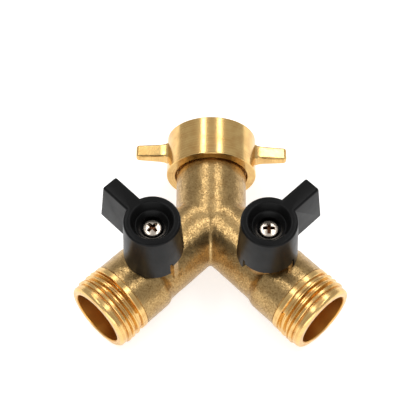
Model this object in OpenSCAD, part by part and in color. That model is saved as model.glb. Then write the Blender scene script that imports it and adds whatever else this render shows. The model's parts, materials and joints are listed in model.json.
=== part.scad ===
// Garden hose splitter: a swivel inlet nut, a cast Y body and two outlets,
// each with its own quarter-turn ball valve and lever knob.
// +Y runs along the inlet towards the tap, +Z towards the knobs, and the
// origin is the centre of the inlet thread's first turn.

/* [Pipes] */
// From the inlet thread's first turn to the point where the three pipes meet
junction_run = 34; // [33:0.5:38]
// Angle between each outlet leg and the inlet's axis
leg_angle = 45; // [42:1:48]
// Outside diameter of the inlet neck
neck_d = 25.7; // [25:0.1:26]
// Outside diameter of the slim stretch of a leg
leg_d = 24.2; // [24:0.1:25]
// Outside diameter of the thick stretch of a leg
thick_d = 26; // [25.6:0.1:26]
// From the junction to the step where a leg gets thicker
step_at = 31; // [30:0.5:33]
// Length of the sloping step
step_run = 1.8; // [1:0.1:3]
// Waterway through the neck and the junction
waterway_d = 17; // [14:0.5:18]

/* [Outlets] */
// From the junction to an outlet's end face
leg_len = 56.4; // [55.5:0.1:60]
// Bore of an outlet
bore_d = 20.6; // [20.5:0.1:20.8]
// Bore of the valve chamber behind it
chamber_d = 20; // [19.8:0.1:20.2]
// Diameter of the turned collar behind an outlet's thread
collar_d = 26.4; // [26.4:0.1:26.6]
// From the junction to the back of the collar
collar_at = 44; // [43.5:0.1:44.2]
// Width of the collar
collar_w = 2.1; // [1.5:0.1:2.4]
// Length of the plain turned ring at an outlet's end
end_ring_len = 2.9; // [2:0.1:3]
// Diameter of that ring
end_ring_d = 26; // [25.4:0.1:26.2]

/* [Hose thread] */
// Pitch of the hose threads
pitch = 2.21; // [2.1:0.01:2.3]
// Crest diameter of the outlet threads
male_crest_d = 27; // [26.9:0.1:27.1]
// Root diameter of the outlet threads
male_root_d = 24.4; // [24:0.1:24.8]
// Crest diameter of the inlet thread, its smallest
female_crest_d = 24.6; // [24.4:0.1:24.8]
// Root diameter of the inlet thread
female_root_d = 27.3; // [27:0.1:27.6]
// Width of the flat on a thread's crest
crest_w = 0.6; // [0.4:0.1:0.8]

/* [Swivel nut] */
// Outside diameter of the nut
nut_d = 33.2; // [32:0.1:34]
// Length of the nut along the inlet
nut_len = 15.9; // [15.7:0.1:17]
// Diameter of the hole that the neck turns in
nut_hole_d = 26.7; // [26.5:0.1:26.9]
// From one wing's tip to the other's
wing_span = 56.6; // [48:0.2:60]
// From the nut's mouth to the middle of a wing
wing_at = 6; // [5:0.5:8]
// Width of a wing along the inlet
wing_w = 5.4; // [4:0.1:7]
// Thickness of a wing
wing_t = 4.6; // [3.5:0.1:6]
// How far the nut is turned as it lies
nut_turn = 1.5; // [-10:0.5:10]

/* [Valves] */
// From the junction to a knob's axis
valve_at = 28.1; // [27.6:0.1:28.8]
// Diameter of the ball
ball_d = 18.8; // [18.4:0.1:19]
// Port through the ball
port_d = 13; // [10:0.5:13]
// Diameter of the stem
stem_d = 8; // [7.8:0.1:8.2]
// Across the flats of the stem's square top
square_w = 5.6; // [5:0.1:5.6]
// Diameter of the boss round the stem
boss_d = 15.8; // [15:0.1:16]
// Top of the boss above the pipes' axis
boss_z = 16.6; // [16.4:0.1:16.8]
// Direction of the lug that stops the knob
lug_angle = -39; // [-42:1:-36]

/* [Knobs] */
// Diameter of a knob at its rim
knob_top_d = 19.7; // [19.4:0.1:20]
// Diameter of a knob at the bottom of its skirt
knob_bottom_d = 21.5; // [20.8:0.1:21.8]
// Top of a knob above the pipes' axis
knob_z = 34.9; // [34.5:0.1:36]
// Bottom of the skirt above the pipes' axis
skirt_z = 13.2; // [13:0.1:13.6]
// Underside of the part of the skirt that is cut away
cutaway_z = 17.1; // [17:0.1:17.4]
// From a knob's axis to its lever's tip, at the top
lever_reach = 21.3; // [20:0.1:23]
// Width of the lever at the top
lever_w = 6.2; // [5:0.1:7]
// Draft of the lever's sides and tip, which grow towards the bottom
lever_draft = 4.5; // [1:0.5:5]

/* [Hidden] */
$fn = 96;
left = -1;
right = 1;
eps = 1;                      // overrun of a cut past the face it opens
brass = "#b98f4f";
bright_brass = "#d9b46c";
black = "#262626";
nickel = "#d8d4cb";
white = "#f1efe8";
rubber = "#2d2b29";

// Inlet, measured from the junction
junction_y = -junction_run;
mouth_chamfer = 0.8;
nut_tail = junction_run + mouth_chamfer - nut_len;
neck_end = nut_tail + 5.3;
washer_t = 3;
washer_id = 16;
flange_gap = 0.08;            // running clearance between neck and nut
flange_r = nut_hole_d/2 - flange_gap;
flange_at = nut_tail + 1;
ring_wire_d = 1.4;
ring_at = nut_tail + 3.1;
ring_r = 13.2;
ring_slot_w = 1.6;
ring_open = 18;               // degrees left open in the split ring
relief_end = junction_run - 6.6;

// Outlets, measured from the junction along a leg
female_lands = 3;
male_lands = 3;
first_land = collar_at + collar_w + 1.5;
flank = 0.65;                 // run of a thread's flank along the axis
end_chamfer = 0.7;

// Valve pieces, measured from the valve's centre
seat_near = 4.4;
seat_far = 8.4;
seat_gap = 0.05;
seat_hole_d = 13.2;
retainer_len = 4;
retainer_hole_d = 15;
retainer_end = valve_at + seat_far + retainer_len;
flange_z = chamber_d/2 + 0.2;   // underside of the stem's flange
flange_t = 0.9;
stem_flange_d = 10.8;
thrust_t = 0.6;
thrust_z = flange_z + flange_t;
pocket_d = 11;
stem_gap = 0.05;              // running clearance between stem and body
o_ring_d = 1.2;
o_ring_w = 1.4;
o_ring_z = [12.5, 14.5];
tang_w = 3.9;
tang_z = 7.25;
slot_gap = 0.15;
square_end = 25.8;
screw_shank_d = 3.4;
screw_len = 10;
screw_gap = 0.05;
screw_head_d = 6.6;
screw_head_h = 2.4;

// Knob
head_z = 28;                  // seat of the screw's head
web_t = 2;
well_d = 8.4;
recess_d = 14.3;
step_d = 11.9;
step_z = knob_z - 3.4;
funnel_z = knob_z - 4.6;
hub_d = 11.2;
hub_z = 17.3;
hollow_z = knob_z - 4.5;
skirt_id = 16.9;
rim_round = 0.7;
cutaway = [-190, -75];        // sector with the short skirt, from the lever
spot_d = 22.4;                // flat milled on the body round each boss
spot_z = skirt_z - 0.4;
lug_w = 2.2;
lug_out = 10.3;
lever_root = 8.6;

function leg_dir(side) = -90 + side*leg_angle;
function lever_dir(side) = leg_dir(side) + side*90;

// Z of the children runs along the inlet, from the junction to the tap
module at_inlet() translate([0, junction_y, 0]) rotate([-90, 0, 0]) children();

// Z of the children runs down a leg, from the junction to its outlet
module at_leg(side) translate([0, junction_y, 0]) rotate([90, 0, side*leg_angle]) children();

// Origin on the valve's centre, Z up its stem
module at_valve(side)
    translate([valve_at*cos(leg_dir(side)), junction_y + valve_at*sin(leg_dir(side)), 0]) children();

// The same, with X along the lever
module on_stem(side) at_valve(side) rotate(lever_dir(side)) children();

// A ring from inner to outer radius, from z0 to z1
module ring(inner, outer, z0, z1) {
    difference() {
        translate([0, 0, z0]) cylinder(r = outer, h = z1 - z0);
        translate([0, 0, z0 - eps]) cylinder(r = inner, h = z1 - z0 + 2*eps);
    }
}

// Outline points of round thread lands: root, crest, crest, root for each
function lands(first, count, step, root_r, crest_r) =
    [for (i = [0:count - 1]) let (at = first + i*step)
        each [[root_r, at - crest_w/2 - flank], [crest_r, at - crest_w/2],
              [crest_r, at + crest_w/2], [root_r, at + crest_w/2 + flank]]];

neck_outline = [
    [0, 0], [neck_d/2, 0], [neck_d/2, flange_at], [flange_r, flange_at + 0.3],
    [flange_r, ring_at - ring_slot_w/2], [ring_r - ring_wire_d/2, ring_at - ring_slot_w/2],
    [ring_r - ring_wire_d/2, ring_at + ring_slot_w/2], [flange_r, ring_at + ring_slot_w/2],
    [flange_r, neck_end - 0.3], [flange_r - 0.3, neck_end], [0, neck_end]];

leg_outline = concat(
    [[0, 0], [leg_d/2, 0], [leg_d/2, step_at], [thick_d/2, step_at + step_run],
     [thick_d/2, collar_at], [collar_d/2 - 0.2, collar_at], [collar_d/2, collar_at + 0.2],
     [collar_d/2, collar_at + collar_w - 0.2], [male_root_d/2, collar_at + collar_w]],
    lands(first_land, male_lands, pitch, male_root_d/2, male_crest_d/2),
    [[male_root_d/2, leg_len - end_ring_len - 0.3],
     [end_ring_d/2, leg_len - end_ring_len], [end_ring_d/2, leg_len - end_chamfer],
     [end_ring_d/2 - end_chamfer, leg_len], [0, leg_len]]);

module pipes() {
    difference() {
        union() {
            at_inlet() rotate_extrude() polygon(neck_outline);
            translate([0, junction_y, 0]) sphere(d = neck_d);
            for (side = [left, right]) at_leg(side) rotate_extrude() polygon(leg_outline);
        }
        for (side = [left, right])
            at_valve(side) translate([0, 0, spot_z]) cylinder(d = spot_d, h = knob_z);
    }
}

module boss_and_lug(side) {
    at_valve(side) cylinder(d = boss_d, h = boss_z);
    at_valve(side) rotate(lug_angle)
        translate([boss_d/2 - 1, -lug_w/2, 3]) cube([lug_out - boss_d/2 + 1, lug_w, boss_z - 2.9]);
}

module valve_chamber(side) {
    at_leg(side) cylinder(d = waterway_d, h = leg_len);
    at_leg(side) translate([0, 0, valve_at - seat_far]) cylinder(d = chamber_d, h = leg_len - valve_at);
    at_leg(side) translate([0, 0, retainer_end]) cylinder(d = bore_d, h = leg_len);
    at_valve(side) cylinder(d = pocket_d, h = thrust_z + thrust_t);
    at_valve(side) cylinder(d = stem_d + 2*stem_gap, h = boss_z + eps);
}

module y_body() {
    color(brass) difference() {
        union() {
            pipes();
            for (side = [left, right]) boss_and_lug(side);
        }
        at_inlet() cylinder(d = waterway_d, h = neck_end + eps);
        translate([0, junction_y, 0]) sphere(d = waterway_d);
        for (side = [left, right]) valve_chamber(side);
    }
}

nut_outline = concat(
    [[nut_hole_d/2, nut_tail], [nut_hole_d/2, ring_at - ring_slot_w/2],
     [ring_r + 0.95, ring_at - ring_slot_w/2], [ring_r + 0.95, ring_at + ring_slot_w/2],
     [nut_hole_d/2, ring_at + ring_slot_w/2], [nut_hole_d/2, neck_end + 0.2],
     [female_root_d/2, neck_end + 0.2], [female_root_d/2, relief_end]],
    lands(junction_run - crest_w/2 - (female_lands - 1)*pitch, female_lands, pitch,
          female_root_d/2, female_crest_d/2),
    [[female_root_d/2 + 0.3, nut_tail + nut_len], [nut_d/2 - 0.4, nut_tail + nut_len],
     [nut_d/2, nut_tail + nut_len - 0.4], [nut_d/2, nut_tail + 0.4], [nut_d/2 - 0.4, nut_tail]]);

module wing() {
    wing_x = wing_span/2;
    root_x = nut_d/2 - 1.6;
    middle = wing_at - mouth_chamfer;
    translate([root_x, -middle - wing_w/2, -wing_t/2]) cube([wing_x - root_x, wing_w, wing_t]);
    translate([root_x, -middle - wing_w/2 - 1, -wing_t/2 - 1])
        cube([2.4, wing_w + 2, wing_t + 2]);
}

module swivel_nut() {
    color(bright_brass) rotate([0, nut_turn, 0]) {
        at_inlet() rotate_extrude() polygon(nut_outline);
        wing();
        mirror([1, 0, 0]) wing();
    }
}

module nut_retaining_ring() {
    color(nickel) at_inlet() translate([0, 0, ring_at]) rotate(90 + ring_open/2)
        rotate_extrude(angle = 360 - ring_open) translate([ring_r, 0]) circle(d = ring_wire_d);
}

module inlet_washer() {
    color(rubber) at_inlet() ring(washer_id/2, female_root_d/2 - 0.3, neck_end, neck_end + washer_t);
}

module ball(side) {
    color(nickel) on_stem(side) difference() {
        sphere(d = ball_d);
        translate([-ball_d, 0, 0]) rotate([0, 90, 0]) cylinder(d = port_d, h = 2*ball_d);
        translate([-tang_w/2 - slot_gap, -ball_d, tang_z - slot_gap])
            cube([tang_w + 2*slot_gap, 2*ball_d, ball_d]);
    }
}

// A seat on the inlet's side (way = -1) or the outlet's side (way = 1) of the ball
module seat(side, way) {
    color(white) at_leg(side) translate([0, 0, valve_at]) difference() {
        rotate([way < 0 ? 180 : 0, 0, 0])
            ring(seat_hole_d/2, chamber_d/2 - seat_gap, seat_near, seat_far);
        sphere(d = ball_d + 2*seat_gap);
    }
}

module seat_retainer(side) {
    color(bright_brass) at_leg(side) difference() {
        ring(retainer_hole_d/2, chamber_d/2 - seat_gap, valve_at + seat_far, retainer_end);
        translate([-bore_d, -1.25, retainer_end - 1.5]) cube([2*bore_d, 2.5, 3]);
    }
}

module stem(side) {
    color(bright_brass) on_stem(side) difference() {
        union() {
            intersection() {
                translate([0, 0, tang_z]) cylinder(d = 2*tang_w, h = flange_z - tang_z);
                translate([-tang_w/2, -stem_d, tang_z]) cube([tang_w, 2*stem_d, flange_z - tang_z]);
            }
            translate([0, 0, flange_z]) cylinder(d = stem_flange_d, h = flange_t);
            translate([0, 0, thrust_z]) cylinder(d = stem_d, h = boss_z - thrust_z);
            translate([-square_w/2, -square_w/2, boss_z]) cube([square_w, square_w, square_end - boss_z]);
        }
        for (z = o_ring_z) ring(stem_d/2 - o_ring_d, stem_d, z, z + o_ring_w);
        translate([0, 0, head_z - screw_len - 0.3])
            cylinder(d = screw_shank_d + 2*screw_gap, h = screw_len);
    }
}

module stem_o_rings(side) {
    color(rubber) on_stem(side) for (z = o_ring_z) translate([0, 0, z + o_ring_w/2])
        rotate_extrude() translate([stem_d/2 - o_ring_d/2, 0]) circle(d = o_ring_d);
}

module stem_thrust_washer(side) {
    color(white) on_stem(side)
        ring(stem_d/2 + 0.1, stem_flange_d/2 - 0.2, thrust_z, thrust_z + thrust_t - 0.05);
}

knob_outline = [
    [0, hub_z], [hub_d/2, hub_z], [hub_d/2, hollow_z], [skirt_id/2 - 0.4, hollow_z],
    [skirt_id/2, skirt_z], [knob_bottom_d/2, skirt_z], [knob_top_d/2, knob_z - rim_round],
    [knob_top_d/2 - rim_round, knob_z], [0, knob_z]];

recess_outline = [
    [0, head_z], [well_d/2, head_z], [well_d/2, funnel_z], [step_d/2, step_z],
    [recess_d/2 - 0.9, step_z], [recess_d/2, knob_z - 0.4], [recess_d/2 + 0.4, knob_z],
    [recess_d/2 + 0.4, knob_z + eps], [0, knob_z + eps]];

// The blade: its side view pushed through its end view, each a taper
module lever() {
    grown = (knob_z - cutaway_z)*tan(lever_draft);
    top_y = lever_w/2;
    low_y = top_y + grown;
    reach = lever_reach + grown;
    intersection() {
        rotate([90, 0, 0]) linear_extrude(2*low_y, center = true)
            polygon([[lever_root, cutaway_z], [reach, cutaway_z],
                     [lever_reach, knob_z], [lever_root, knob_z]]);
        rotate([90, 0, 90]) linear_extrude(reach)
            polygon([[-low_y, cutaway_z], [low_y, cutaway_z], [top_y, knob_z], [-top_y, knob_z]]);
    }
}

module knob(side) {
    socket_w = square_w + 0.1;
    color(black) on_stem(side) difference() {
        union() {
            rotate_extrude() polygon(knob_outline);
            lever();
        }
        rotate_extrude() polygon(recess_outline);
        translate([-socket_w/2, -socket_w/2, hub_z - eps])
            cube([socket_w, socket_w, head_z - web_t - hub_z + eps]);
        cylinder(d = screw_shank_d + 0.4, h = knob_z);
        rotate(cutaway[0]) rotate_extrude(angle = cutaway[1] - cutaway[0])
            translate([skirt_id/2 - 1, skirt_z - eps]) square([4, cutaway_z - skirt_z + eps]);
    }
}

module knob_screw(side) {
    color(nickel) at_valve(side) rotate(side < 0 ? 45 : 0) difference() {
        union() {
            translate([0, 0, head_z - screw_len]) cylinder(d = screw_shank_d, h = screw_len);
            intersection() {
                translate([0, 0, head_z]) cylinder(d = screw_head_d, h = screw_head_h);
                translate([0, 0, head_z + screw_head_h - 4]) sphere(r = 4);
            }
        }
        for (a = [0, 90]) rotate(a)
            translate([-1.9, -0.5, head_z + 1]) cube([3.8, 1, screw_head_h]);
    }
}

y_body();
swivel_nut();
nut_retaining_ring();
inlet_washer();
ball(left);  // left_ball
seat(left, -1);  // left_inner_seat
seat(left, 1);  // left_outer_seat
seat_retainer(left);  // left_seat_retainer
stem(left);  // left_stem
stem_o_rings(left);  // left_stem_o_rings
stem_thrust_washer(left);  // left_stem_thrust_washer
knob(left);  // left_knob
knob_screw(left);  // left_knob_screw
ball(right);  // right_ball
seat(right, -1);  // right_inner_seat
seat(right, 1);  // right_outer_seat
seat_retainer(right);  // right_seat_retainer
stem(right);  // right_stem
stem_o_rings(right);  // right_stem_o_rings
stem_thrust_washer(right);  // right_stem_thrust_washer
knob(right);  // right_knob
knob_screw(right);  // right_knob_screw
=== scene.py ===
"""Garden hose splitter: cast Y body, turned ends, swivel nut and two lever valves, laid out as an add-on."""

import json
import math

import bmesh
import bpy
from bpy.props import FloatProperty, FloatVectorProperty, IntProperty, PointerProperty
from mathutils import Matrix, Vector, noise


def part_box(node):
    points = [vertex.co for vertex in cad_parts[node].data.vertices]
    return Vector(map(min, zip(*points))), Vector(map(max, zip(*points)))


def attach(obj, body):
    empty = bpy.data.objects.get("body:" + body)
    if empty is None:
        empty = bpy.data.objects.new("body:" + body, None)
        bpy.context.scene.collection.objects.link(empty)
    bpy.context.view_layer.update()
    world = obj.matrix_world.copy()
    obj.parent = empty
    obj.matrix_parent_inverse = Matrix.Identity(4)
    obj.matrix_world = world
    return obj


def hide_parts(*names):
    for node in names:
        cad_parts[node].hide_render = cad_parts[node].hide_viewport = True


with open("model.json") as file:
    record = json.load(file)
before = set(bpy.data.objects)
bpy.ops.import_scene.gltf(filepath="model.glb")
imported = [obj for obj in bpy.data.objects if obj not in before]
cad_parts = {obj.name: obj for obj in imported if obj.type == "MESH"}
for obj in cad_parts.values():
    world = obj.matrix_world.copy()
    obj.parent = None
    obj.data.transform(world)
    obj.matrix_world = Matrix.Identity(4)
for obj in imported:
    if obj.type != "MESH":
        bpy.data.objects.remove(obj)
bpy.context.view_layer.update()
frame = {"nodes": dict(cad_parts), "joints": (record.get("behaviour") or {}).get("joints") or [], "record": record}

bl_info = {
    "name": "Hose Splitter",
    "version": (1, 0, 0),
    "blender": (4, 5, 0),
    "location": "View3D > Sidebar > Splitter",
    "description": "Builds the finished pieces of a brass two-way hose splitter",
    "category": "Add Mesh",
}

MM = 0.001
FULL_TURN = 2 * math.pi
SIDES = {"left": -1, "right": 1}

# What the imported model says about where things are
MOUNTS = {mount["name"]: mount for mount in frame["record"]["mounts"]}
JOINTS = {joint["name"]: joint for joint in frame["joints"]}
LEG_AXIS = Vector(MOUNTS["right_outlet_thread"]["axis"])
LEG_ANGLE = math.atan2(LEG_AXIS.x, -LEG_AXIS.y)
KNOB_AXIS = Vector(JOINTS["right_valve_turn"]["pos_m"])
VALVE_AT = KNOB_AXIS.x / LEG_AXIS.x
JUNCTION = KNOB_AXIS - LEG_AXIS * VALVE_AT
LEG_LEN = MOUNTS["right_outlet_face"]["pos_m"][0] / LEG_AXIS.x
MALE_CREST = MOUNTS["right_outlet_thread"]["dims"]["r_mm"] * MM
FEMALE_CREST = MOUNTS["inlet_thread"]["dims"]["r_mm"] * MM
BORE = MOUNTS["right_outlet_bore"]["dims"]["r_mm"] * MM
MOUTH_LEN = MOUNTS["right_outlet_bore"]["dims"]["length_mm"] * MM
NUT_LOW, NUT_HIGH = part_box("swivel_nut")
KNOB_LOW, KNOB_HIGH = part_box("right_knob")
SCREW_LOW, SCREW_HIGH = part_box("right_knob_screw")
NUT_R = NUT_HIGH.z
NUT_TAIL = NUT_LOW.y - JUNCTION.y
NUT_MOUTH = NUT_HIGH.y - JUNCTION.y
NECK_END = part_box("inlet_washer")[0].y - JUNCTION.y
RING_LOW, RING_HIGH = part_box("nut_retaining_ring")

# What several pieces share: the groove round the retaining ring, from the junction, then where the
# casting gives way to the neck's turned end and to an outlet's lining, and the height of a screw's head
SLOT_LOW = RING_LOW.y - JUNCTION.y - 0.1 * MM
SLOT_HIGH = RING_HIGH.y - JUNCTION.y + 0.1 * MM
CAST_NECK_END = NUT_TAIL + 0.9 * MM
LINING_START = VALVE_AT - 8.4 * MM
SCREW_HEAD_H = 2.4 * MM

TURN_X = Matrix.Rotation(math.pi / 2, 4, "X")
AT_INLET = Matrix.Translation(JUNCTION) @ TURN_X.inverted()


def at_leg(side):
    """Z runs down a leg, from the junction to its outlet, and Y points up."""
    return Matrix.Translation(JUNCTION) @ Matrix.Rotation(side * LEG_ANGLE, 4, "Z") @ TURN_X


def at_valve(name):
    """Origin on the pipes' plane under a knob, Z up its stem."""
    return Matrix.Translation(Vector(JOINTS[name + "_valve_turn"]["pos_m"]))


def lever_turn(side):
    """Turns X to the way a closed valve's lever points."""
    return Matrix.Rotation(side * LEG_ANGLE - math.pi / 2 + side * math.pi / 2, 4, "Z")


# ---------------------------------------------------------------- sizes and colours


def rgb(code):
    """An sRGB hex code as linear red, green and blue."""
    channels = [int(code[i : i + 2], 16) / 255 for i in (1, 3, 5)]
    return [c / 12.92 if c <= 0.04045 else ((c + 0.055) / 1.055) ** 2.4 for c in channels]


def size(name, description, default):
    return FloatProperty(name=name, description=description, default=default, min=0, precision=5,
                         unit="LENGTH")


def slant(name, description, degrees):
    return FloatProperty(name=name, description=description, default=math.radians(degrees), subtype="ANGLE")


def glow(name, description, default):
    return FloatProperty(name=name, description=description, default=default, min=0)


def colour(name, description, code):
    return FloatVectorProperty(name=name, description=description, default=rgb(code), subtype="COLOR",
                               min=0, max=1)


class CastingSizes(bpy.types.PropertyGroup):
    """Sizes of the cast Y body"""

    neck_r: size("Neck radius", "Outside radius of the inlet neck", 12.85 * MM)
    leg_r: size("Leg radius", "Outside radius of the slim stretch of a leg", 12.1 * MM)
    thick_r: size("Thick leg radius", "Outside radius of a leg before its collar", 13.0 * MM)
    step_at: size("Step", "From the junction to where a leg gets thicker", 31 * MM)
    step_run: size("Step length", "Length of the slope up to the thick stretch", 1.8 * MM)
    casting_end: size("Casting end", "From the junction to the turned collar", 44 * MM)
    waterway_r: size("Waterway radius", "Radius of the passage through the body", 8.5 * MM)
    wall_bore: size("Leg bore", "Radius of the bore that the turned end lines", 10.9 * MM)
    stem_hole_r: size("Stem hole", "Radius of the hole that a stem turns in", 4.05 * MM)
    boss_r: size("Boss radius", "Radius of the boss round a stem", 7.9 * MM)
    boss_z: size("Boss height", "Top of the boss above the pipes' axis", 16.6 * MM)
    spot_r: size("Spot face radius", "Radius of the flat milled round a boss", 11.2 * MM)
    spot_z: size("Spot face height", "Height of that flat above the pipes' axis", 12.8 * MM)
    lug_w: size("Lug width", "Width of the lug that stops a knob", 2.2 * MM)
    lug_out: size("Lug reach", "From the stem's axis to the lug's outer face", 10.25 * MM)
    lug_angle: slant("Lug angle", "Direction of each lug from its stem", -39)
    grain: size("Voxel", "Size of the voxels that blend the casting", 0.5 * MM)
    blending: IntProperty(name="Blending", description="Smoothing passes over the casting's creases",
                          default=10, min=0, max=60)


class EndSizes(bpy.types.PropertyGroup):
    """Sizes of the outlet ends, the neck's end and the nut"""

    collar_r: size("Collar radius", "Radius of the collar behind a thread", 13.2 * MM)
    collar_w: size("Collar width", "Width of that collar", 2.1 * MM)
    root_r: size("Root radius", "Root radius of an outlet's thread", 12.2 * MM)
    pitch: size("Pitch", "Pitch of the hose threads", 2.21 * MM)
    ring_len: size("End ring", "Length of the plain ring at an outlet's end", 2.9 * MM)
    ring_r: size("End ring radius", "Radius of that ring", 13 * MM)
    female_root: size("Inlet root", "Root radius of the nut's thread", 13.65 * MM)
    hole_r: size("Nut hole", "Radius of the hole that fits round the neck's end", 13.35 * MM)
    wing_at: size("Wing place", "From the nut's mouth to the middle of a wing", 6 * MM)
    nut_turn: slant("Nut turn", "How far the nut is turned as it lies", 1.5)


class KnobSizes(bpy.types.PropertyGroup):
    """Sizes of a lever knob"""

    rim_r: size("Rim radius", "Radius of a knob at its rim", 9.85 * MM)
    skirt_r: size("Skirt radius", "Radius of a knob at the bottom of its skirt", 10.72 * MM)
    inside_r: size("Skirt bore", "Inside radius of the skirt", 8.45 * MM)
    short_z: size("Short skirt", "Underside of the cut-away stretch of the skirt", 17.1 * MM)
    recess_r: size("Recess radius", "Radius of the recess in a knob's top", 7.15 * MM)
    step_r: size("Inner step radius", "Radius of the funnel's rim inside the recess", 5.55 * MM)
    well_r: size("Well radius", "Radius of the well round the screw's head", 4.2 * MM)
    lever_reach: size("Lever reach", "From a knob's axis to its lever's tip, at the top", 21.3 * MM)
    lever_w: size("Lever width", "Thickness of the lever at the top", 6.2 * MM)
    draft: slant("Draft", "Taper of the lever's sides and tip", 4.4)
    edge: size("Edge round", "Radius on the moulding's edges", 0.4 * MM)
    lever_edge: size("Lever edge", "Radius on the lever's top edges", 0.9 * MM)


class Finishes(bpy.types.PropertyGroup):
    """Colours of the finished surfaces"""

    cast_light: colour("Cast brass, light", "The casting's high spots", "#c2a26d")
    cast_dark: colour("Cast brass, dark", "The casting's hollows", "#8a6b40")
    turned: colour("Turned brass", "Freshly cut brass", "#ecc681")
    # Painted shade: the deeper, more orange colour laid inside the outlets' bores
    bore_painted_shade: colour("Bored brass", "Brass inside the outlets, darker than the turned faces", "#dba24e")
    turned_deep: colour("Turned brass, deep", "Cut brass in the turning marks", "#d1a363")
    plastic: colour("Black nylon", "The knobs' moulded plastic", "#0b0b0b")
    nickel: colour("Nickel", "The screws' plating", "#dccfc0")
    # Painted shade: the brown laid down in the screws' cross
    recess: colour("Recess", "Oil and thin plating down in the screws' cross", "#5a3c28")


class StageSizes(bpy.types.PropertyGroup):
    """Where the camera and the strip lights are, and how bright each light is"""

    eye_x: size("Camera aside", "Camera's distance to the right of the inlet's axis", 0.94 * MM)
    eye_y: size("Camera forward", "Camera's distance in front of the junction", 254.12 * MM)
    eye_z: size("Camera height", "Camera's height above the pipes' plane", 445.41 * MM)
    elevation: slant("Elevation", "Angle the camera looks down at", 59.77)
    azimuth: slant("Azimuth", "Angle the camera looks aside", -0.45)
    lens: FloatProperty(name="Lens", description="Focal length in millimetres", default=121.15,
                        unit="CAMERA")
    strip_x: size("Strips aside", "Distance of each strip light from the middle", 285 * MM)
    strip_y: size("Strips back", "Distance of the strip lights behind the inlet", 450 * MM)
    strip_z: size("Strips up", "Height of the strip lights above the pipes' plane", 750 * MM)
    strip_glow: glow("Strips' glow", "Radiance of the two strip lights", 4.6)
    front_glow: glow("Front glow", "Radiance of the low light in front", 2.0)
    card_glow: glow("Card glow", "Strength of the glow from the card on the floor", 0.6)
    sky_glow: glow("Sky glow", "Strength of the even light from all round", 0.5)


class SplitterSettings(bpy.types.PropertyGroup):
    casting: PointerProperty(type=CastingSizes)
    ends: PointerProperty(type=EndSizes)
    knob: PointerProperty(type=KnobSizes)
    finish: PointerProperty(type=Finishes)
    stage: PointerProperty(type=StageSizes)


# ---------------------------------------------------------------- mesh helpers


def outline_edges(bm, points, closed):
    verts = [bm.verts.new((r, 0, z)) for r, z in points]
    pairs = list(zip(verts, verts[1:]))
    if closed:
        pairs.append((verts[-1], verts[0]))
    return verts + [bm.edges.new(pair) for pair in pairs]


def arc(centre, radius, start, end, steps=6):
    """Points of an arc round (radius, height) centre, from start to end degrees."""
    turns = [math.radians(start + (end - start) * i / steps) for i in range(steps + 1)]
    return [(centre[0] + radius * math.cos(a), centre[1] + radius * math.sin(a)) for a in turns]


def ridge(root, crest, shoulder, flat, trim=0):
    """A thread ridge's outline, foot to foot: shoulder is a share of its depth, flat is half its top."""
    foot = root - math.copysign(0.1 * MM, crest - root)
    half = [(foot, 0.95 * MM), (root + (crest - root) * shoulder, 0.35 * MM), (crest - trim, flat)]
    return [(r, -z) for r, z in half] + half[::-1]


def spun(points, place=Matrix(), closed=True, steps=128, angle=FULL_TURN):
    """A closed solid: an outline of (radius, height) points turned about Z, then put in place."""
    bm = bmesh.new()
    geom = outline_edges(bm, points, closed)
    if angle < FULL_TURN:
        geom = geom + [bm.faces.new([g for g in geom if isinstance(g, bmesh.types.BMVert)])]
    bmesh.ops.spin(bm, geom=geom, cent=(0, 0, 0), axis=(0, 0, 1), angle=angle, steps=steps,
                   use_merge=angle == FULL_TURN, use_duplicate=False)
    bmesh.ops.remove_doubles(bm, verts=bm.verts, dist=1e-6)
    bmesh.ops.recalc_face_normals(bm, faces=bm.faces)
    bmesh.ops.transform(bm, matrix=place, verts=bm.verts)
    return bm


def rod(radius, low, high, place=Matrix(), steps=96):
    return spun([(0, low), (radius, low), (radius, high), (0, high)], place, closed=False, steps=steps)


def block(low, high, place=Matrix()):
    bm = bmesh.new()
    bmesh.ops.create_cube(bm, size=1)
    low, high = Vector(low), Vector(high)
    bmesh.ops.scale(bm, vec=high - low, verts=bm.verts)
    bmesh.ops.translate(bm, vec=(low + high) / 2, verts=bm.verts)
    bmesh.ops.transform(bm, matrix=place, verts=bm.verts)
    return bm


def gathered(parts):
    """Several bmeshes in one."""
    whole = bmesh.new()
    for part in parts:
        mesh = bpy.data.meshes.new("part")
        part.to_mesh(mesh)
        part.free()
        whole.from_mesh(mesh)
        bpy.data.meshes.remove(mesh)
    return whole


def workpiece(bm, name="work"):
    """An object made from a bmesh, in the scene."""
    mesh = bpy.data.meshes.new(name)
    bm.to_mesh(mesh)
    bm.free()
    made = bpy.data.objects.new(name, mesh)
    bpy.context.scene.collection.objects.link(made)
    return made


def applied(work):
    """Turns a workpiece's modifiers into its mesh."""
    bpy.context.view_layer.update()
    depsgraph = bpy.context.evaluated_depsgraph_get()
    mesh = bpy.data.meshes.new_from_object(work.evaluated_get(depsgraph))
    work.modifiers.clear()
    old = work.data
    work.data = mesh
    bpy.data.meshes.remove(old)
    if not mesh.polygons:
        raise RuntimeError(f"{work.name} came out empty")
    return work


def carve(work, tool, operation="DIFFERENCE"):
    """Cuts a bmesh out of a workpiece, or joins it on."""
    cutter = workpiece(tool, "tool")
    modifier = work.modifiers.new("carve", "BOOLEAN")
    modifier.object = cutter
    modifier.operation = operation
    modifier.solver = "MANIFOLD"
    applied(work)
    mesh = cutter.data
    bpy.data.objects.remove(cutter)
    bpy.data.meshes.remove(mesh)


def remeshed(work, voxel):
    modifier = work.modifiers.new("blend", "REMESH")
    modifier.mode = "VOXEL"
    modifier.voxel_size = voxel
    return applied(work)


def edited(work, change):
    """Runs change(bm) on a workpiece's mesh."""
    bm = bmesh.new()
    bm.from_mesh(work.data)
    change(bm)
    bm.to_mesh(work.data)
    bm.free()


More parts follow.
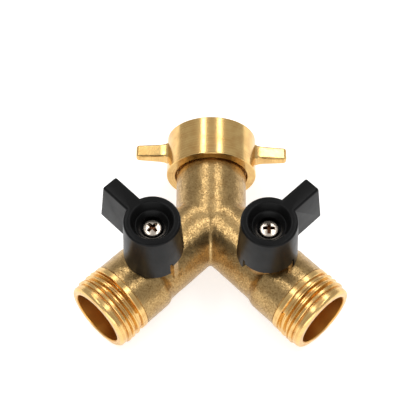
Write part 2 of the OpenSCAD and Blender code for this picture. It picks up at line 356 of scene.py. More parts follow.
def helix(profile, start, pitch, turns, fade, place=Matrix(), steps=96):
    """A thread's ridge: a (radius, height) profile carried up a helix, low at its start and end."""
    bm = bmesh.new()
    verts = [bm.verts.new((r, 0, start + z)) for r, z in profile]
    face = bm.faces.new(verts)
    count = round(steps * turns)
    bmesh.ops.spin(bm, geom=[face], cent=(0, 0, 0), axis=(0, 0, 1), dvec=(0, 0, pitch / steps),
                   angle=FULL_TURN * turns, steps=count, use_merge=False, use_duplicate=False)
    root = profile[0][0]
    top = start + pitch * turns
    for vert in bm.verts:
        radius = math.hypot(vert.co.x, vert.co.y)
        share = min(1, max(0, (top - vert.co.z) / fade), max(0, (vert.co.z - start) / fade) + 0.3)
        wanted = root + (radius - root) * share
        vert.co.x *= wanted / radius
        vert.co.y *= wanted / radius
    bmesh.ops.recalc_face_normals(bm, faces=bm.faces)
    bmesh.ops.transform(bm, matrix=place, verts=bm.verts)
    return bm


def round_edges(bm, edges, radius):
    bmesh.ops.bevel(bm, geom=edges, offset=radius, segments=4, profile=0.5, affect="EDGES", material=-1)


def rough_up(bm, amount, scale, seed):
    """Moves points along their normals by smooth noise."""
    bm.normal_update()
    shift = Vector((seed, seed * 1.7, seed * 2.3))
    moves = [(v, v.normal.copy(), noise.fractal(v.co / scale + shift, 1.0, 2.0, 3)) for v in bm.verts]
    for vert, normal, height in moves:
        vert.co += normal * height * amount


def finished(work, name, material, body, nodes=(), sharp=35, edge=0, flat=False):
    """Names a workpiece, gives it its material, rounds or shades its edges and hangs it on a CAD body."""
    work.name = name
    work.data.name = name
    mesh = work.data
    mesh.materials.clear()
    mesh.materials.append(material)
    mesh.polygons.foreach_set("use_smooth", [True] * len(mesh.polygons))
    if edge:
        bevel = work.modifiers.new("edge", "BEVEL")
        bevel.width = edge
        bevel.segments = 3
        bevel.limit_method = "ANGLE"
        bevel.angle_limit = math.radians(sharp)
        bevel.harden_normals = True
    else:
        mesh.set_sharp_from_angle(angle=math.radians(sharp))
    if flat:
        work.modifiers.new("shade", "WEIGHTED_NORMAL").keep_sharp = True
    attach(work, body)
    if nodes:
        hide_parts(*nodes)


# ---------------------------------------------------------------- materials


def add(tree, kind, settings=None, inputs=None):
    """Adds a node with its settings, and with its inputs set to values or linked to sockets."""
    node = tree.nodes.new(kind)
    for key, value in (settings or {}).items():
        setattr(node, key, value)
    for key, value in (inputs or {}).items():
        if isinstance(value, bpy.types.NodeSocket):
            tree.links.new(value, node.inputs[key])
        else:
            node.inputs[key].default_value = value
    return node


def blank(name):
    """A material with only its output and a Principled shader."""
    material = bpy.data.materials.new(name)
    material.use_nodes = True
    tree = material.node_tree
    tree.nodes.clear()
    shader = add(tree, "ShaderNodeBsdfPrincipled")
    add(tree, "ShaderNodeOutputMaterial", inputs={"Surface": shader.outputs[0]})
    return material, tree, shader


def dressed(blank_material, metallic, colours, dull, normal):
    """Links colours, roughness and normal to a blank material's shader, and sets how metallic it is."""
    material, tree, shader = blank_material
    for key, socket in {"Base Color": colours, "Roughness": dull, "Normal": normal}.items():
        tree.links.new(socket, shader.inputs[key])
    shader.inputs["Metallic"].default_value = metallic
    return material


def object_coords(tree):
    return add(tree, "ShaderNodeTexCoord").outputs["Object"]


def place_coords(tree, place):
    """Object coordinates turned into a piece's own axes, Z along its axis."""
    where, turn, _ = place.decompose()
    inputs = {"Vector": object_coords(tree), "Location": where, "Rotation": turn.to_euler()}
    return add(tree, "ShaderNodeMapping", {"vector_type": "TEXTURE"}, inputs).outputs[0]


def soft_noise(tree, vector, scale_mm, detail=2.0, rough=0.5):
    """Smooth noise whose features are about scale_mm across."""
    inputs = {"Vector": vector, "Scale": 1 / (scale_mm * MM), "Detail": detail, "Roughness": rough}
    return add(tree, "ShaderNodeTexNoise", inputs=inputs).outputs["Fac"]


def bumped(tree, height, strength, depth_mm, under=None):
    """The normal of a bumped surface, on top of another bump where one is given."""
    inputs = {"Height": height, "Strength": strength, "Distance": depth_mm * MM}
    if under is not None:
        inputs["Normal"] = under
    return add(tree, "ShaderNodeBump", inputs=inputs).outputs[0]


def mixed(tree, share, first, second):
    """A number between first and second, share of the way."""
    return add(tree, "ShaderNodeMix", {"data_type": "FLOAT"}, {0: share, 2: first, 3: second}).outputs[0]


def mixed_colour(tree, share, first, second):
    return add(tree, "ShaderNodeMix", {"data_type": "RGBA"}, {0: share, 6: first, 7: second}).outputs[2]


def eased(tree, value, low, high):
    """0 at low and 1 at high, held at either end."""
    inputs = {"Value": value, "From Min": low, "From Max": high}
    return add(tree, "ShaderNodeMapRange", inputs=inputs).outputs[0]


def ramp(tree, fac, stops):
    """A colour ramp from (position, colour) stops."""
    node = add(tree, "ShaderNodeValToRGB", inputs={"Fac": fac})
    elements = node.color_ramp.elements
    while len(elements) < len(stops):
        elements.new(0.5)
    for element, (position, shade) in zip(elements, stops):
        element.position = position
        element.color = (*shade, 1)
    return node.outputs["Color"]


def grey(value):
    return (value, value, value)


def cast_brass(finish):
    """Tumbled cast brass: a soft granular skin that breaks reflections into specks."""
    made = blank("cast_brass_tumbled")
    tree = made[1]
    coords = object_coords(tree)
    specks = soft_noise(tree, coords, 0.6, 3.0, 0.6)
    patches = soft_noise(tree, coords, 3.0, 2.0)
    tone = mixed(tree, 0.25, specks, patches)
    skin = ramp(tree, tone, [(0.34, finish.cast_dark), (0.6, finish.cast_light)])
    dull = ramp(tree, specks, [(0.3, grey(0.4)), (0.7, grey(0.24))])
    pits = bumped(tree, soft_noise(tree, coords, 0.9, 3.0, 0.65), 0.8, 0.07)
    grit = bumped(tree, soft_noise(tree, coords, 0.36, 2.0), 0.6, 0.035, pits)
    return dressed(made, 1, skin, dull, grit)


def turned_brass(finish, name, place, marks=0.35, dulls=(0.3, 0.2), bore=0):
    """Brass cut on a lathe: bright, with fine rings round its axis, and with painted shade inside a bore, where
    the colour turns deeper and more orange.
    """
    made = blank(name)
    tree = made[1]
    coords = place_coords(tree, place)
    split = add(tree, "ShaderNodeSeparateXYZ", inputs={0: coords})
    flat = add(tree, "ShaderNodeCombineXYZ", inputs={0: split.outputs[0], 1: split.outputs[1]})
    length = add(tree, "ShaderNodeVectorMath", {"operation": "LENGTH"}, {0: flat.outputs[0]})
    radius = length.outputs["Value"]
    along = add(tree, "ShaderNodeMath", {"operation": "ADD"}, {0: radius, 1: split.outputs[2]})
    rings = add(tree, "ShaderNodeTexNoise", {"noise_dimensions": "1D"},
                {"W": along.outputs[0], "Scale": 1 / (0.4 * MM), "Detail": 2.0}).outputs["Fac"]
    soft = soft_noise(tree, coords, 3.5, 2.0)
    skin = ramp(tree, mixed(tree, 0.5, rings, soft), [(0.35, finish.turned_deep), (0.6, finish.turned)])
    dull = ramp(tree, soft, [(0.3, grey(dulls[0])), (0.7, grey(dulls[1]))])
    if bore:
        # Painted shade: inside the bore the colour turns deeper and more orange
        inside = eased(tree, radius, bore + 0.4 * MM, bore + 0.1 * MM)
        dull = mixed(tree, inside, dull, 0.36)
        skin = mixed_colour(tree, inside, skin, (*finish.bore_painted_shade, 1))
    cuts = bumped(tree, rings, marks, 0.02)
    return dressed(made, 1, skin, dull, bumped(tree, soft, 0.25, 0.06, cuts))


def black_nylon(finish):
    """Glass-filled nylon from a spark-eroded mould: black, with a fine matt grain."""
    made = blank("black_nylon_moulded")
    _, tree, shader = made
    coords = object_coords(tree)
    cloud = soft_noise(tree, coords, 4.0, 2.0)
    lighter = [c * 1.5 + 0.001 for c in finish.plastic]
    skin = ramp(tree, cloud, [(0.35, finish.plastic), (0.7, lighter)])
    dull = ramp(tree, cloud, [(0.3, grey(0.36)), (0.7, grey(0.28))])
    shader.inputs["IOR"].default_value = 1.53
    shader.inputs["Specular IOR Level"].default_value = 0.12
    return dressed(made, 0, skin, dull, bumped(tree, soft_noise(tree, coords, 0.3, 2.0), 0.3, 0.015))


def nickel_plate(finish):
    """Bright nickel on a rolled screw head: warm grey, nearly polished, with painted shade in the cross, brown
    below the head's top.
    """
    made = blank("nickel_plated_steel")
    tree = made[1]
    coords = object_coords(tree)
    soft = soft_noise(tree, coords, 1.2, 3.0)
    plate = ramp(tree, soft, [(0.3, [c * 0.8 for c in finish.nickel]), (0.65, finish.nickel)])
    height = add(tree, "ShaderNodeSeparateXYZ", inputs={0: coords}).outputs[2]
    # Painted shade: brown in the cross, below the head's top
    out_of_cross = eased(tree, height, SCREW_HIGH.z - 1.1 * MM, SCREW_HIGH.z - 0.7 * MM)
    skin = mixed_colour(tree, out_of_cross, (*finish.recess, 1), plate)
    dull = ramp(tree, soft, [(0.3, grey(0.3)), (0.7, grey(0.18))])
    return dressed(made, 1, skin, dull, bumped(tree, soft, 0.3, 0.05))


def plain_finish(name, dark, light, metallic, roughness, scale_mm, bump_mm, ior=1.5):
    """A material whose tone and surface vary softly, for the pieces inside."""
    material, tree, shader = blank(name)
    soft = soft_noise(tree, object_coords(tree), scale_mm, 3.0)
    skin = ramp(tree, soft, [(0.3, rgb(dark)), (0.7, rgb(light))])
    tree.links.new(skin, shader.inputs["Base Color"])
    tree.links.new(bumped(tree, soft, 0.4, bump_mm), shader.inputs["Normal"])
    shader.inputs["Metallic"].default_value = metallic
    shader.inputs["Roughness"].default_value = roughness
    if not metallic:
        shader.inputs["IOR"].default_value = ior
    return material


# ---------------------------------------------------------------- pieces


class SPLITTER_OT_casting(bpy.types.Operator):
    """Cast the Y body: neck, two legs, bosses and lugs, blended where they meet"""

    bl_idname = "splitter.casting"
    bl_label = "Y Casting"

    def execute(self, context):
        sizes = context.scene.splitter.casting
        work = remeshed(workpiece(gathered(self.shells(sizes))), sizes.grain)
        edited(work, lambda bm: self.soften(bm, sizes.blending))
        for name in SIDES:
            self.add_boss(work, sizes, at_valve(name))
        carve(work, rod(sizes.waterway_r, 0, NECK_END, AT_INLET))
        for name, side in SIDES.items():
            self.bore_leg(work, sizes, at_leg(side), at_valve(name))
        edited(work, lambda bm: bmesh.ops.dissolve_degenerate(bm, dist=0.004 * MM, edges=bm.edges))
        edited(work, lambda bm: bmesh.ops.triangulate(bm, faces=bm.faces))
        finished(work, "y_casting", cast_brass(context.scene.splitter.finish), "root",
                 ["y_body"], sharp=38)
        return {"FINISHED"}

    def shells(self, sizes):
        """The neck, the two legs and a ball where they meet, each a closed form."""
        neck = [(0, 0), (sizes.neck_r, 0), (sizes.neck_r, CAST_NECK_END), (0, CAST_NECK_END)]
        past_end = sizes.casting_end + 1 * MM
        leg = [(0, 0), (sizes.leg_r, 0), (sizes.leg_r, sizes.step_at),
               (sizes.thick_r, sizes.step_at + sizes.step_run), (sizes.thick_r, past_end), (0, past_end)]
        ball = bmesh.new()
        bmesh.ops.create_icosphere(ball, subdivisions=5, radius=sizes.neck_r,
                                   matrix=Matrix.Translation(JUNCTION))
        legs = [spun(leg, at_leg(side), closed=False) for side in SIDES.values()]
        return [spun(neck, AT_INLET, closed=False), ball, *legs]

    def add_boss(self, work, sizes, place):
        """The milled flat round a stem, its boss and the lug that stops the knob."""
        carve(work, rod(sizes.spot_r, sizes.spot_z, sizes.boss_z + 8 * MM, place))
        carve(work, rod(sizes.boss_r, 2 * MM, sizes.boss_z, place), "UNION")
        lug = block((sizes.boss_r - 1 * MM, -sizes.lug_w / 2, 3 * MM),
                    (sizes.lug_out, sizes.lug_w / 2, sizes.boss_z + 0.1 * MM),
                    place @ Matrix.Rotation(sizes.lug_angle, 4, "Z"))
        carve(work, lug, "UNION")

    def bore_leg(self, work, sizes, leg, valve):
        """The waterway, the room for an outlet's lining, the stem's hole and the leg's cut end."""
        lining_room = LINING_START - 0.1 * MM
        carve(work, rod(sizes.waterway_r, 0, LEG_LEN, leg))
        carve(work, rod(sizes.wall_bore, lining_room, LEG_LEN, leg))
        carve(work, rod(sizes.stem_hole_r, 0, sizes.boss_z + 2 * MM, valve))
        carve(work, rod(sizes.thick_r + 3 * MM, sizes.casting_end - 0.25 * MM, LEG_LEN, leg))

    def soften(self, bm, passes):
        for _ in range(passes):
            bmesh.ops.smooth_vert(bm, verts=bm.verts, factor=0.5,
                                  use_axis_x=True, use_axis_y=True, use_axis_z=True)
        rough_up(bm, amount=0.07 * MM, scale=2.6 * MM, seed=4.0)


class SPLITTER_OT_outlets(bpy.types.Operator):
    """Turn the two outlet ends: collar, thread, end ring and the bore behind them"""

    bl_idname = "splitter.outlets"
    bl_label = "Outlet Ends"

    def execute(self, context):
        ends = context.scene.splitter.ends
        casting = context.scene.splitter.casting
        groove = casting.casting_end + ends.collar_w
        ring = LEG_LEN - ends.ring_len
        band = ring - 1.7 * MM
        start = groove + 0.3 * MM
        turns = (band + 0.3 * MM - start) / ends.pitch
        profile = ridge(ends.root_r, MALE_CREST, 0.85, 0.22 * MM, trim=0.03 * MM)
        for name, side in SIDES.items():
            place = at_leg(side)
            work = workpiece(spun(self.outline(casting, ends, groove, band, ring), place, steps=160))
            thread = helix(profile, start, ends.pitch, turns, 0.9 * MM, place @ self.start_turn(side))
            carve(work, thread, "UNION")
            finish = turned_brass(context.scene.splitter.finish, name + "_outlet_brass_with_painted_bore_shade", place,
                                  dulls=(0.3, 0.22), bore=BORE)
            finished(work, name + "_outlet_end", finish, "root", ["y_body"],
                     sharp=28, flat=True)
        return {"FINISHED"}

    def outline(self, casting, ends, groove, band, ring):
        """From the lining's start along the outside to the mouth, and back along the bore."""
        back = casting.casting_end
        lining, tucked = casting.wall_bore - 0.05 * MM, casting.thick_r - 0.35 * MM
        band_end = ring - 0.45 * MM
        band_side, neck_r = MALE_CREST - 0.15 * MM, ends.ring_r - 0.35 * MM
        corner = 1.2 * MM
        chamber, mouth = 10.0 * MM, LEG_LEN - MOUTH_LEN
        return [
            (lining, LINING_START), (lining, back - 0.35 * MM), (tucked, back - 0.35 * MM), (tucked, back),
            (ends.collar_r - 0.15 * MM, back), (ends.collar_r, back + 0.15 * MM),
            (ends.collar_r, groove - 0.2 * MM), (ends.collar_r - 0.2 * MM, groove),
            (ends.root_r, groove + 0.15 * MM), (ends.root_r, band - 0.6 * MM),
            (band_side, band), (MALE_CREST, band + 0.2 * MM),
            (MALE_CREST, band_end - 0.2 * MM), (band_side, band_end),
            (neck_r, band_end + 0.25 * MM), (neck_r, ring - 0.05 * MM), (ends.ring_r, ring + 0.25 * MM),
            *arc((ends.ring_r - corner, LEG_LEN - corner), corner, 0, 90, 7),
            (BORE + 0.25 * MM, LEG_LEN), (BORE, LEG_LEN - 0.3 * MM), (BORE, mouth),
            (chamber, mouth), (chamber, LINING_START)]

    def start_turn(self, side):
        """Where round the outlet its thread begins."""
        return Matrix.Rotation(math.radians(90 + side * 60), 4, "Z")


class SPLITTER_OT_neck_end(bpy.types.Operator):
    """Turn the neck's end, which the nut spins on"""

    bl_idname = "splitter.neck_end"
    bl_label = "Neck End"

    def execute(self, context):
        casting = context.scene.splitter.casting
        flange = context.scene.splitter.ends.hole_r - 0.08 * MM
        floor = 12.5 * MM
        start = CAST_NECK_END
        outline = [
            (casting.waterway_r, start), (casting.neck_r - 0.05 * MM, start), (flange, start + 0.35 * MM),
            (flange, SLOT_LOW), (floor, SLOT_LOW), (floor, SLOT_HIGH), (flange, SLOT_HIGH),
            (flange, NECK_END - 0.3 * MM), (flange - 0.3 * MM, NECK_END),
            (casting.waterway_r + 0.3 * MM, NECK_END), (casting.waterway_r, NECK_END - 0.3 * MM)]
        finish = turned_brass(context.scene.splitter.finish, "neck_brass_turned", AT_INLET)
        finished(workpiece(spun(outline, AT_INLET)), "neck_end", finish, "root", ["y_body"],
                 sharp=28, flat=True)
        return {"FINISHED"}


class SPLITTER_OT_nut(bpy.types.Operator):
    """Turn the swivel nut with its thread, and forge its two wings"""

    bl_idname = "splitter.nut"
    bl_label = "Swivel Nut"

    def execute(self, context):
        ends = context.scene.splitter.ends
        start = NECK_END + 3.9 * MM
        turns = (NUT_MOUTH - 1.1 * MM - start) / ends.pitch
        profile = ridge(ends.female_root, FEMALE_CREST, 0.9, 0.25 * MM)
        parts = [spun(self.outline(ends), AT_INLET, steps=192),
                 helix(profile, start, ends.pitch, turns, 1.2 * MM, AT_INLET)]
        work = workpiece(gathered(parts))
        for side in SIDES.values():
            turn = Matrix.Rotation(ends.nut_turn + (math.pi if side < 0 else 0), 4, "Y")
            carve(work, self.wing(turn, NUT_HIGH.y - ends.wing_at), "UNION")
        finish = turned_brass(context.scene.splitter.finish, "nut_brass_turned", AT_INLET,
                              marks=0.15, dulls=(0.24, 0.17))
        finished(work, "winged_nut", finish, "nut", ["swivel_nut"], sharp=32, flat=True)
        return {"FINISHED"}

    def outline(self, ends):
        """Along the inside from the tail to the mouth, and back along the outside."""
        edge, groove = 0.45 * MM, ends.hole_r + 0.8 * MM
        bore_end = NECK_END + 0.2 * MM
        return [
            (ends.hole_r + 0.2 * MM, NUT_TAIL), (ends.hole_r, NUT_TAIL + 0.2 * MM), (ends.hole_r, SLOT_LOW),
            (groove, SLOT_LOW), (groove, SLOT_HIGH), (ends.hole_r, SLOT_HIGH), (ends.hole_r, bore_end),
            (ends.female_root, bore_end), (ends.female_root, NUT_MOUTH - 0.6 * MM),
            (ends.female_root + 0.6 * MM, NUT_MOUTH), (NUT_R - edge, NUT_MOUTH),
            *arc((NUT_R - edge, NUT_MOUTH - edge), edge, 70, 20, 3),
            (NUT_R, NUT_MOUTH - edge), (NUT_R, NUT_TAIL + edge),
            *arc((NUT_R - edge, NUT_TAIL + edge), edge, -20, -70, 3), (NUT_R - edge, NUT_TAIL)]

    def wing(self, turn, middle):
        """A bar whose root flares into the nut and whose thickness tapers to the tip."""
        root, tip = 14.6, NUT_HIGH.x / MM - 0.1
        # Distance out from the nut's axis, half width and half thickness, in millimetres
        sections = [(root, 4.5, 4.1), (15.7, 3.9, 3.5), (16.6, 3.3, 3.0), (17.6, 2.95, 2.75),
                    (19.4, 2.75, 2.5), (tip, 2.65, 1.75)]
        bm = block((root * MM, -MM, -MM), (tip * MM, MM, MM))
        for out, _, _ in sections[1:-1]:
            bmesh.ops.bisect_plane(bm, geom=bm.verts[:] + bm.edges[:] + bm.faces[:],
                                   plane_co=(out * MM, 0, 0), plane_no=(1, 0, 0))
        for out, half_width, half_thick in sections:
            verts = [v for v in bm.verts if abs(v.co.x - out * MM) < 0.01 * MM]
            bmesh.ops.scale(bm, vec=(1, half_width, half_thick), verts=verts)
        outer = [e for e in bm.edges if max(v.co.x for v in e.verts) > (root + 0.1) * MM]
        round_edges(bm, [e for e in outer if self.is_corner(e)], 1.1 * MM)
        bmesh.ops.recalc_face_normals(bm, faces=bm.faces)
        bmesh.ops.transform(bm, matrix=turn @ Matrix.Translation((0, middle, 0)), verts=bm.verts)
        return bm

    def is_corner(self, edge):
        return len(edge.link_faces) == 2 and edge.calc_face_angle() > math.radians(50)


class SPLITTER_OT_knobs(bpy.types.Operator):
    """Mould the two knobs: skirt, lever, recess for the screw and hollow underside"""

    bl_idname = "splitter.knobs"
    bl_label = "Lever Knobs"

    def execute(self, context):
        material = black_nylon(context.scene.splitter.finish)
        for name, side in SIDES.items():
            work = self.moulding(context.scene.splitter.knob)
            place = at_valve(name) @ lever_turn(side)
            edited(work, lambda bm: bmesh.ops.transform(bm, matrix=place, verts=bm.verts))
            finished(work, name + "_lever_knob", material, name + "_valve",
                     [name + "_knob"], sharp=32, edge=context.scene.splitter.knob.edge)
        return {"FINISHED"}

    def moulding(self, sizes):
        """One knob, its lever along X."""
        top, low = KNOB_HIGH.z, KNOB_LOW.z
        rim = 0.9 * MM
        body = [(0, low), (sizes.skirt_r, low), (sizes.rim_r, top - rim),
                *arc((sizes.rim_r - rim, top - rim), rim, 15, 90, 5), (0, top)]
        work = workpiece(spun(body, closed=False, steps=96))
        carve(work, self.lever(sizes, top), "UNION")
        head = SCREW_HIGH.z - SCREW_HEAD_H
        carve(work, self.recess(sizes, top, head))
        self.hollow(work, sizes, top, low)
        socket = 2.85 * MM
        carve(work, block((-socket, -socket, low), (socket, socket, head - 2 * MM)))
        carve(work, rod(1.9 * MM, low, top, steps=48))
        self.cut_skirt(work, sizes, low)
        edited(work, lambda bm: bmesh.ops.dissolve_limit(bm, angle_limit=math.radians(0.3), verts=bm.verts,
                                                         edges=bm.edges))
        return work

    def recess(self, sizes, top, head):
        """The room over the screw: a rounded rim, a step, a funnel and a well down to its head's seat."""
        lip = 0.7 * MM
        step = top - 2.9 * MM
        outline = [(0, head), (sizes.well_r, head), (sizes.well_r, top - 4.7 * MM),
                   (sizes.step_r - 0.3 * MM, step - 0.3 * MM), (sizes.step_r, step),
                   (sizes.step_r + 0.3 * MM, step), *arc((sizes.recess_r + lip, top - lip), lip, 150, 90, 4),
                   (sizes.recess_r + lip, top + 1 * MM), (0, top + 1 * MM)]
        return spun(outline, closed=False, steps=96)

    def hollow(self, work, sizes, top, low):
        """The room inside the skirt, round a hub that stops short of the boss."""
        hub, ceiling, mouth = 5.6 * MM, top - 4.5 * MM, low - 1 * MM
        outline = [(hub, mouth), (hub, ceiling), (sizes.inside_r - 0.4 * MM, ceiling),
                   (sizes.inside_r, mouth)]
        carve(work, spun(outline, steps=96))
        carve(work, rod(hub + 0.5 * MM, mouth, sizes.short_z + 0.2 * MM))

    def cut_skirt(self, work, sizes, low):
        """The short stretch of skirt that passes over the lug, with a notch at each end of it."""
        inner, outer, below = sizes.inside_r - 1 * MM, sizes.skirt_r + 1 * MM, low - 1 * MM
        gap = [(inner, below), (inner, sizes.short_z), (outer, sizes.short_z), (outer, below)]
        start = Matrix.Rotation(math.radians(-190), 4, "Z")
        carve(work, spun(gap, start, steps=32, angle=math.radians(115)))
        for end in (-187, -79):
            notch = block((inner, -0.5 * MM, below), (outer, 0.5 * MM, sizes.short_z + 1.5 * MM),
                          Matrix.Rotation(math.radians(end), 4, "Z"))
            carve(work, notch)

    def lever(self, sizes, top):
        """The lever: a tall flat blade with rounded top edges and tip corners."""
        half, reach, tip = sizes.lever_w / 2, sizes.lever_reach, 0.7 * MM
        root = 8.7 * MM
        side = arc((reach - tip, half - tip), tip, 0, 90, 4) + [(root, half)]
        points = side + [(x, -y) for x, y in reversed(side)]
        bm = bmesh.new()
        face = bm.faces.new([bm.verts.new((x, y, sizes.short_z)) for x, y in points])
        grown = bmesh.ops.extrude_face_region(bm, geom=[face])["geom"]
        verts = [g for g in grown if isinstance(g, bmesh.types.BMVert)]
        height = top - sizes.short_z
        bmesh.ops.translate(bm, vec=(0, 0, height), verts=verts)
        spread = height * math.tan(sizes.draft)
        low = [v for v in bm.verts if v.co.z < top - height / 2]
        bmesh.ops.scale(bm, vec=((reach + spread) / reach, (half + spread) / half, 1), verts=low)
        rim = [e for e in bm.edges if all(v.co.z > top - height / 2 for v in e.verts)
               and max(v.co.x for v in e.verts) > root + tip]
        round_edges(bm, rim, sizes.lever_edge)
        bmesh.ops.recalc_face_normals(bm, faces=bm.faces)
        return bm


class SPLITTER_OT_screws(bpy.types.Operator):
    """Make the two cross-recess pan-head screws that hold the knobs"""

    bl_idname = "splitter.screws"
    bl_label = "Knob Screws"

    def execute(self, context):
        material = nickel_plate(context.scene.splitter.finish)
        top, low = SCREW_HIGH.z, SCREW_LOW.z
        head_r, shank, shoulder = 3.5 * MM, 1.7 * MM, 0.95 * MM
        seat = top - SCREW_HEAD_H
        outline = [(0, low), (shank - 0.3 * MM, low), (shank, low + 0.4 * MM), (shank, seat),
                   (head_r - 0.1 * MM, seat), (head_r, seat + 0.15 * MM),
                   *arc((head_r - shoulder, top - 1.34 * MM), shoulder, 0, 72, 6),
                   (2 * MM, top - 0.25 * MM), (1.2 * MM, top - 0.09 * MM), (0, top)]
        for name, side in SIDES.items():
            turn = Matrix.Rotation(math.radians(45 if side < 0 else 0), 4, "Z")
            place = at_valve(name) @ turn
            work = workpiece(spun(outline, place, closed=False, steps=64))
            for angle in (0, math.pi / 2):
                carve(work, self.slot(top, place @ Matrix.Rotation(angle, 4, "Z")))
            finished(work, name + "_screw", material, name + "_valve",
                     [name + "_knob_screw"], sharp=35)
        return {"FINISHED"}

    def slot(self, top, place):
        """One bar of the cross, narrower and shorter towards its bottom."""
        length, width, depth = 2.7 * MM, 0.7 * MM, 1.7 * MM
        bm = block((-length, -width, top - depth), (length, width, top + 0.5 * MM))
        bottom = [v for v in bm.verts if v.co.z < top - depth / 2]
        bmesh.ops.scale(bm, vec=(0.4, 0.6, 1), verts=bottom)
        bmesh.ops.transform(bm, matrix=place, verts=bm.verts)
        return bm


class SPLITTER_OT_inner_pieces(bpy.types.Operator):
    """Give the balls, seats, stems, seals and rings inside their finishes"""

    bl_idname = "splitter.inner_pieces"
    bl_label = "Inner Pieces"

    def execute(self, context):
        # Chromed brass ball: polished hard plating
        chrome = plain_finish("hard_chrome_plated", "#b9bbbd", "#d4d5d6", 1, 0.12, 3.0, 0.01)
        # Virgin PTFE: white, waxy and slightly mottled from turning
        ptfe = plain_finish("ptfe_turned", "#dedbd2", "#efede6", 0, 0.45, 1.5, 0.03, 1.36)
        # Nitrile rubber: black, dull, with a dusting of talc
        rubber = plain_finish("nitrile_rubber_moulded", "#1d1c1b", "#343230", 0, 0.7, 0.8, 0.05)
        # Drawn phosphor-bronze spring wire
        wire = plain_finish("spring_wire_drawn", "#8c7a5c", "#b09a76", 1, 0.35, 0.6, 0.03)
        finishes = {"nut_retaining_ring": wire, "inlet_washer": rubber}
        for name, side in SIDES.items():
            finish = context.scene.splitter.finish
            leg_brass = turned_brass(finish, name + "_retainer_brass_turned", at_leg(side))
            stem_brass = turned_brass(finish, name + "_stem_brass_turned", at_valve(name))
            finishes |= {name + "_ball": chrome, name + "_inner_seat": ptfe, name + "_outer_seat": ptfe,
                         name + "_seat_retainer": leg_brass, name + "_stem": stem_brass,
                         name + "_stem_o_rings": rubber, name + "_stem_thrust_washer": ptfe}
        for node, material in finishes.items():
            mesh = frame["nodes"][node].data
            mesh.materials.clear()
            mesh.materials.append(material)
        return {"FINISHED"}


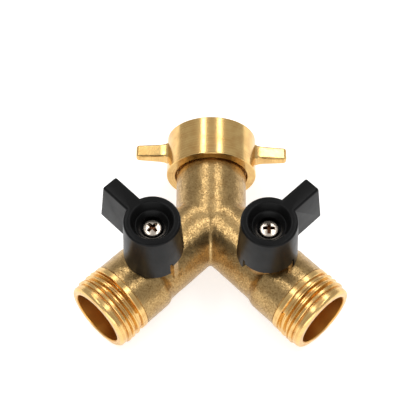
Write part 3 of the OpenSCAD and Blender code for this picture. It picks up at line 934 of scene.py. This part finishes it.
class SPLITTER_OT_stage(bpy.types.Operator):
    """Lay the floor, hang the soft lights and set the camera"""

    bl_idname = "splitter.stage"
    bl_label = "Stage"

    def execute(self, context):
        sizes = context.scene.splitter.stage
        self.floor(sizes.card_glow)
        self.sky(context, sizes.sky_glow)
        strip_span, front_span = (0.13, 1.3), (1.2, 0.35)
        for name, side in SIDES.items():
            where = Vector((side * sizes.strip_x, sizes.strip_y, sizes.strip_z))
            leaning_in = (0, math.atan2(where.x, where.z), 0)
            self.lamp(name + "_strip", where, strip_span, sizes.strip_glow, leaning_in)
        in_front, leaning_back = Vector((0, -0.8, 0.3)), (math.radians(72), 0, 0)
        self.lamp("front_card", in_front, front_span, sizes.front_glow, leaning_back)
        self.camera(context, sizes)
        return {"FINISHED"}

    def floor(self, strength):
        """A pale sheet that the nut and both outlets rest on."""
        sheet = bmesh.new()
        bmesh.ops.create_grid(sheet, x_segments=1, y_segments=1, size=6)
        thread_at = LEG_LEN - 4 * MM
        slope = math.atan2(NUT_R - MALE_CREST, NUT_LOW.y - JUNCTION.y - LEG_AXIS.y * thread_at)
        place = Matrix.Translation((0, NUT_LOW.y, -NUT_R)) @ Matrix.Rotation(-slope, 4, "X")
        bmesh.ops.transform(sheet, matrix=place, verts=sheet.verts)
        floor = workpiece(sheet, "floor")
        floor.data.materials.append(self.card(strength))

    def card(self, strength):
        """Matt white card on a light table, glowing softly from below."""
        material, _, shader = blank("white_card_matt")
        shader.inputs["Base Color"].default_value = (0.8, 0.8, 0.8, 1)
        shader.inputs["Roughness"].default_value = 0.9
        shader.inputs["Emission Color"].default_value = (1, 1, 1, 1)
        shader.inputs["Emission Strength"].default_value = strength
        return material

    def sky(self, context, strength):
        world = bpy.data.worlds.new("studio")
        world.use_nodes = True
        background = world.node_tree.nodes["Background"]
        background.inputs["Color"].default_value = (1, 1, 1, 1)
        background.inputs["Strength"].default_value = strength
        context.scene.world = world

    def lamp(self, name, where, span, radiance, turn):
        """A soft box of the given span that gives the same radiance whatever its size."""
        data = bpy.data.lights.new(name, "AREA")
        data.shape = "RECTANGLE"
        data.size, data.size_y = span
        data.energy = radiance * math.pi * span[0] * span[1]
        lamp = bpy.data.objects.new(name, data)
        lamp.location = where
        lamp.rotation_euler = turn
        bpy.context.scene.collection.objects.link(lamp)

    def camera(self, context, sizes):
        data = bpy.data.cameras.new("camera")
        data.lens = sizes.lens
        data.sensor_width = 36
        data.clip_start = 0.01
        data.clip_end = 50
        eye = bpy.data.objects.new("camera", data)
        eye.location = JUNCTION + Vector((sizes.eye_x, -sizes.eye_y, sizes.eye_z))
        eye.rotation_euler = (math.pi / 2 - sizes.elevation, 0, -sizes.azimuth)
        context.scene.collection.objects.link(eye)
        context.scene.camera = eye
        context.scene.view_settings.view_transform = "Standard"


class SPLITTER_PT_panel(bpy.types.Panel):
    """Lists the splitter's pieces and their sizes"""

    bl_idname = "SPLITTER_PT_panel"
    bl_label = "Hose Splitter"
    bl_space_type = "VIEW_3D"
    bl_region_type = "UI"
    bl_category = "Splitter"

    def draw(self, context):
        settings = context.scene.splitter
        for heading, operators, group in PANEL_ROWS:
            box = self.layout.box()
            box.label(text=heading)
            for operator in operators:
                box.operator(operator.bl_idname)
            for name in getattr(settings, group).bl_rna.properties.keys():
                if name not in ("rna_type", "name"):
                    box.prop(getattr(settings, group), name)


OPERATORS = (SPLITTER_OT_casting, SPLITTER_OT_outlets, SPLITTER_OT_neck_end, SPLITTER_OT_nut,
             SPLITTER_OT_knobs, SPLITTER_OT_screws, SPLITTER_OT_inner_pieces, SPLITTER_OT_stage)
PANEL_ROWS = (("Casting", OPERATORS[:1], "casting"), ("Turned ends and nut", OPERATORS[1:4], "ends"),
              ("Knobs", OPERATORS[4:6], "knob"), ("Finishes", OPERATORS[6:7], "finish"),
              ("Stage", OPERATORS[7:], "stage"))
GROUPS = (CastingSizes, EndSizes, KnobSizes, Finishes, StageSizes, SplitterSettings)
CLASSES = GROUPS + OPERATORS + (SPLITTER_PT_panel,)


def register():
    for cls in CLASSES:
        bpy.utils.register_class(cls)
    bpy.types.Scene.splitter = PointerProperty(type=SplitterSettings)


def unregister():
    del bpy.types.Scene.splitter
    for cls in reversed(CLASSES):
        bpy.utils.unregister_class(cls)


def main():
    register()
    for operator in OPERATORS:
        group, call = operator.bl_idname.split(".")
        getattr(getattr(bpy.ops, group), call)()


if __name__ == "__main__":
    main()
